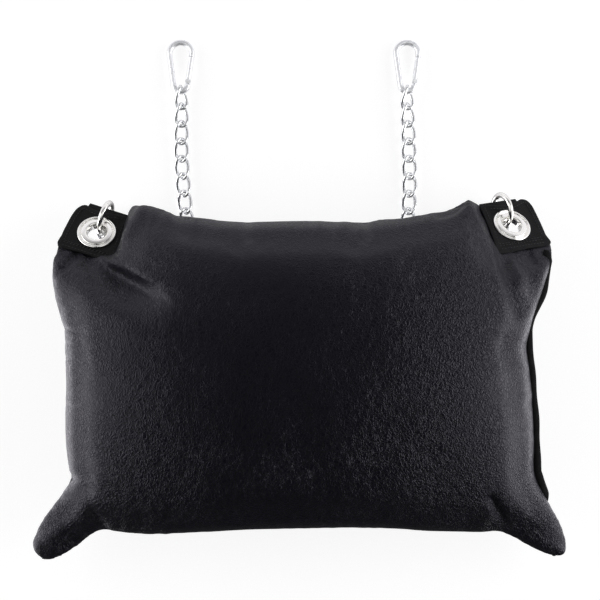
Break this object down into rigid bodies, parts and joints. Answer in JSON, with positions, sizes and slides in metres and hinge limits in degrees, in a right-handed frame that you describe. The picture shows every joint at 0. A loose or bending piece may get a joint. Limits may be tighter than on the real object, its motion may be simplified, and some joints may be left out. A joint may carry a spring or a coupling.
{
  "type": "uppercut bag",
  "caption": "Stuffed leather punching cushion with reinforced eyelet corners, rings, short curb chains and snap hooks to hang it by.",
  "frame": {"origin": "on the surface that the bag lies on, under the middle of the bag and its laid-out chains", "axes": "+Z normal of the striking face, up as stored; +Y from the bag to its hooks; +X to the right seen from the striking face"},
  "size_m": [0.568, 0.5607, 0.1412],
  "materials": {
    "leather": "satin",
    "liner": "matte",
    "filling": "matte",
    "closure": "matte",
    "nylon": "matte",
    "chrome": "polished",
    "chain_steel": "polished",
    "hook_steel": "polished"
  },
  "bodies": {
    "bag": {"cover_front": "leather", "cover_back": "leather", "liner_front": "liner", "liner_back": "liner", "filling": "filling", "closure_hook_strip": "closure", "closure_loop_strip": "closure", "corner_patch_left_front": "nylon", "corner_patch_left_webbing": "nylon", "corner_patch_left_back": "nylon", "eyelet_left": "chrome", "eyelet_washer_left": "chrome", "corner_patch_right_front": "nylon", "corner_patch_right_webbing": "nylon", "corner_patch_right_back": "nylon", "eyelet_right": "chrome", "eyelet_washer_right": "chrome"},
    "ring_left": {"ring_left": "chrome"},
    "link_left_01": {"chain_link_left_01": "chain_steel"},
    "link_left_02": {"chain_link_left_02": "chain_steel"},
    "link_left_03": {"chain_link_left_03": "chain_steel"},
    "link_left_04": {"chain_link_left_04": "chain_steel"},
    "link_left_05": {"chain_link_left_05": "chain_steel"},
    "link_left_06": {"chain_link_left_06": "chain_steel"},
    "link_left_07": {"chain_link_left_07": "chain_steel"},
    "link_left_08": {"chain_link_left_08": "chain_steel"},
    "link_left_09": {"chain_link_left_09": "chain_steel"},
    "link_left_10": {"chain_link_left_10": "chain_steel"},
    "link_left_11": {"chain_link_left_11": "chain_steel"},
    "link_left_12": {"chain_link_left_12": "chain_steel"},
    "link_left_13": {"chain_link_left_13": "chain_steel"},
    "link_left_14": {"chain_link_left_14": "chain_steel"},
    "link_left_15": {"chain_link_left_15": "chain_steel"},
    "link_left_16": {"chain_link_left_16": "chain_steel"},
    "hook_left": {"hook_frame_left": "hook_steel", "hook_rivet_left": "hook_steel"},
    "gate_left": {"hook_gate_left": "hook_steel", "hook_spring_left": "hook_steel"},
    "ring_right": {"ring_right": "chrome"},
    "link_right_01": {"chain_link_right_01": "chain_steel"},
    "link_right_02": {"chain_link_right_02": "chain_steel"},
    "link_right_03": {"chain_link_right_03": "chain_steel"},
    "link_right_04": {"chain_link_right_04": "chain_steel"},
    "link_right_05": {"chain_link_right_05": "chain_steel"},
    "link_right_06": {"chain_link_right_06": "chain_steel"},
    "link_right_07": {"chain_link_right_07": "chain_steel"},
    "link_right_08": {"chain_link_right_08": "chain_steel"},
    "link_right_09": {"chain_link_right_09": "chain_steel"},
    "link_right_10": {"chain_link_right_10": "chain_steel"},
    "link_right_11": {"chain_link_right_11": "chain_steel"},
    "link_right_12": {"chain_link_right_12": "chain_steel"},
    "link_right_13": {"chain_link_right_13": "chain_steel"},
    "link_right_14": {"chain_link_right_14": "chain_steel"},
    "link_right_15": {"chain_link_right_15": "chain_steel"},
    "link_right_16": {"chain_link_right_16": "chain_steel"},
    "hook_right": {"hook_frame_right": "hook_steel", "hook_rivet_right": "hook_steel"},
    "gate_right": {"hook_gate_right": "hook_steel", "hook_spring_right": "hook_steel"}
  },
  "joints": [
    {"name": "ring_left_swing", "type": "hinge", "parent": "bag", "child": "ring_left", "pos_m": [-0.21001, 0.08532, 0.0232], "axis": [0.9367, -0.2994, 0.1816], "range_deg": [-4, 30]},
    {"name": "link_left_01_swing", "type": "hinge", "parent": "ring_left", "child": "link_left_01", "pos_m": [-0.21422, 0.06946, 0.01877], "axis": [-0.2475, -0.1989, 0.9483], "range_deg": [-4, 4]},
    {"name": "link_left_02_swing", "type": "hinge", "parent": "link_left_01", "child": "link_left_02", "pos_m": [-0.2115, 0.05184, 0.01383], "axis": [-0.25, -0.2969, 0.9216], "range_deg": [-4, 4]},
    {"name": "link_left_03_swing", "type": "hinge", "parent": "link_left_02", "child": "link_left_03", "pos_m": [-0.20401, 0.03991, 0.01082], "axis": [-0.5326, -0.8249, 0.1893], "range_deg": [-4, 4]},
    {"name": "link_left_04_swing", "type": "hinge", "parent": "link_left_03", "child": "link_left_04", "pos_m": [-0.18433, 0.02651, 0.00778], "axis": [0.2099, 0.0879, 0.9738], "range_deg": [-4, 4]},
    {"name": "link_left_05_swing", "type": "hinge", "parent": "link_left_04", "child": "link_left_05", "pos_m": [-0.1702, 0.02382, 0.00683], "axis": [0.2067, -0.7721, 0.601], "range_deg": [-4, 4]},
    {"name": "link_left_06_swing", "type": "hinge", "parent": "link_left_05", "child": "link_left_06", "pos_m": [-0.14682, 0.02909, 0.00557], "axis": [-0.0914, 0.5963, 0.7975], "range_deg": [-4, 4]},
    {"name": "link_left_07_swing", "type": "hinge", "parent": "link_left_06", "child": "link_left_07", "pos_m": [-0.1352, 0.03759, 0.0049], "axis": [0.6104, -0.3569, 0.7071], "range_deg": [-4, 4]},
    {"name": "link_left_08_swing", "type": "hinge", "parent": "link_left_07", "child": "link_left_08", "pos_m": [-0.12308, 0.05831, 0.0049], "axis": [-0.6104, 0.3569, 0.7071], "range_deg": [-4, 4]},
    {"name": "link_left_09_swing", "type": "hinge", "parent": "link_left_08", "child": "link_left_09", "pos_m": [-0.12178, 0.07254, 0.0049], "axis": [0.7018, 0.0862, 0.7071], "range_deg": [-6, 8]},
    {"name": "link_left_10_swing", "type": "hinge", "parent": "link_left_09", "child": "link_left_10", "pos_m": [-0.12471, 0.09636, 0.0049], "axis": [-0.7018, -0.0862, 0.7071], "range_deg": [-20, 20]},
    {"name": "link_left_11_swing", "type": "hinge", "parent": "link_left_10", "child": "link_left_11", "pos_m": [-0.12584, 0.11031, 0.0049], "axis": [-0.7044, -0.0616, -0.7071], "range_deg": [-20, 20]},
    {"name": "link_left_12_swing", "type": "hinge", "parent": "link_left_11", "child": "link_left_12", "pos_m": [-0.12793, 0.13422, 0.0049], "axis": [0.7044, 0.0616, -0.7071], "range_deg": [-20, 20]},
    {"name": "link_left_13_swing", "type": "hinge", "parent": "link_left_12", "child": "link_left_13", "pos_m": [-0.12864, 0.14821, 0.00512], "axis": [0.7882, 0.0012, 0.6154], "range_deg": [-20, 20]},
    {"name": "link_left_14_swing", "type": "hinge", "parent": "link_left_13", "child": "link_left_14", "pos_m": [-0.12927, 0.17219, 0.00588], "axis": [-0.6148, -0.041, 0.7876], "range_deg": [-20, 20]},
    {"name": "link_left_15_swing", "type": "hinge", "parent": "link_left_14", "child": "link_left_15", "pos_m": [-0.12871, 0.18618, 0.00619], "axis": [-0.9703, 0.0102, -0.2417], "range_deg": [-20, 20]},
    {"name": "link_left_16_swing", "type": "hinge", "parent": "link_left_15", "child": "link_left_16", "pos_m": [-0.12871, 0.21016, 0.0072], "axis": [0.2419, 0.0409, -0.9694], "range_deg": [-20, 20]},
    {"name": "hook_left_swing", "type": "hinge", "parent": "link_left_16", "child": "hook_left", "pos_m": [-0.12983, 0.22909, 0.00834], "axis": [-0.0144, -0.0587, 0.9982], "range_deg": [-25, 25]},
    {"name": "gate_left_open", "type": "hinge", "parent": "hook_left", "child": "gate_left", "pos_m": [-0.12165, 0.23447, 0.00715], "axis": [0, 0.0963, 0.9954], "range_deg": [0, 22], "stiffness_Nm_per_rad": 0.02, "springref_deg": -20.05},
    {"name": "ring_right_swing", "type": "hinge", "parent": "bag", "child": "ring_right", "pos_m": [0.21782, 0.09342, 0.02452], "axis": [0.8845, 0.1452, -0.4434], "range_deg": [-4, 30]},
    {"name": "link_right_01_swing", "type": "hinge", "parent": "ring_right", "child": "link_right_01", "pos_m": [0.21842, 0.07695, 0.02032], "axis": [0.4652, -0.203, 0.8616], "range_deg": [-4, 4]},
    {"name": "link_right_02_swing", "type": "hinge", "parent": "link_right_01", "child": "link_right_02", "pos_m": [0.21466, 0.06014, 0.01359], "axis": [0.3725, -0.4153, 0.8299], "range_deg": [-4, 4]},
    {"name": "link_right_03_swing", "type": "hinge", "parent": "link_right_02", "child": "link_right_03", "pos_m": [0.2069, 0.04838, 0.01082], "axis": [-0.5321, 0.627, 0.569], "range_deg": [-4, 4]},
    {"name": "link_right_04_swing", "type": "hinge", "parent": "link_right_03", "child": "link_right_04", "pos_m": [0.18746, 0.03463, 0.00778], "axis": [0.2467, -0.5281, 0.8126], "range_deg": [-4, 4]},
    {"name": "link_right_05_swing", "type": "hinge", "parent": "link_right_04", "child": "link_right_05", "pos_m": [0.1736, 0.03112, 0.00683], "axis": [0.0521, 0.7304, 0.6811], "range_deg": [-4, 4]},
    {"name": "link_right_06_swing", "type": "hinge", "parent": "link_right_05", "child": "link_right_06", "pos_m": [0.1498, 0.034, 0.00557], "axis": [-0.12, -0.6725, 0.7303], "range_deg": [-4, 4]},
    {"name": "link_right_07_swing", "type": "hinge", "parent": "link_right_06", "child": "link_right_07", "pos_m": [0.13715, 0.04071, 0.0049], "axis": [0.534, 0.4635, 0.7071], "range_deg": [-4, 4]},
    {"name": "link_right_08_swing", "type": "hinge", "parent": "link_right_07", "child": "link_right_08", "pos_m": [0.12142, 0.05884, 0.0049], "axis": [-0.534, -0.4635, 0.7071], "range_deg": [-4, 4]},
    {"name": "link_right_09_swing", "type": "hinge", "parent": "link_right_08", "child": "link_right_09", "pos_m": [0.11638, 0.07233, 0.0049], "axis": [0.7044, -0.0616, 0.7071], "range_deg": [-6, 8]},
    {"name": "link_right_10_swing", "type": "hinge", "parent": "link_right_09", "child": "link_right_10", "pos_m": [0.11847, 0.09623, 0.0049], "axis": [-0.7044, 0.0616, 0.7071], "range_deg": [-20, 20]},
    {"name": "link_right_11_swing", "type": "hinge", "parent": "link_right_10", "child": "link_right_11", "pos_m": [0.11904, 0.11023, 0.0049], "axis": [-0.707, 0.0123, -0.7071], "range_deg": [-20, 20]},
    {"name": "link_right_12_swing", "type": "hinge", "parent": "link_right_11", "child": "link_right_12", "pos_m": [0.11946, 0.13422, 0.0049], "axis": [0.707, -0.0123, -0.7071], "range_deg": [-20, 20]},
    {"name": "link_right_13_swing", "type": "hinge", "parent": "link_right_12", "child": "link_right_13", "pos_m": [0.11882, 0.14821, 0.00512], "axis": [0.7882, 0.0012, 0.6154], "range_deg": [-20, 20]},
    {"name": "link_right_14_swing", "type": "hinge", "parent": "link_right_13", "child": "link_right_14", "pos_m": [0.11819, 0.17219, 0.00588], "axis": [-0.6148, -0.041, 0.7876], "range_deg": [-20, 20]},
    {"name": "link_right_15_swing", "type": "hinge", "parent": "link_right_14", "child": "link_right_15", "pos_m": [0.11772, 0.18618, 0.00619], "axis": [-0.9695, -0.0406, -0.2417], "range_deg": [-20, 20]},
    {"name": "link_right_16_swing", "type": "hinge", "parent": "link_right_15", "child": "link_right_16", "pos_m": [0.11647, 0.21013, 0.0072], "axis": [0.2395, 0.0535, -0.9694], "range_deg": [-20, 20]},
    {"name": "hook_right_swing", "type": "hinge", "parent": "link_right_16", "child": "hook_right", "pos_m": [0.1166, 0.2291, 0.00834], "axis": [-0.0175, -0.0579, 0.9982], "range_deg": [-25, 25]},
    {"name": "gate_right_open", "type": "hinge", "parent": "hook_right", "child": "gate_right", "pos_m": [0.12465, 0.23447, 0.00715], "axis": [0, 0.0963, 0.9954], "range_deg": [0, 22], "stiffness_Nm_per_rad": 0.02, "springref_deg": -20.05}
  ]
}
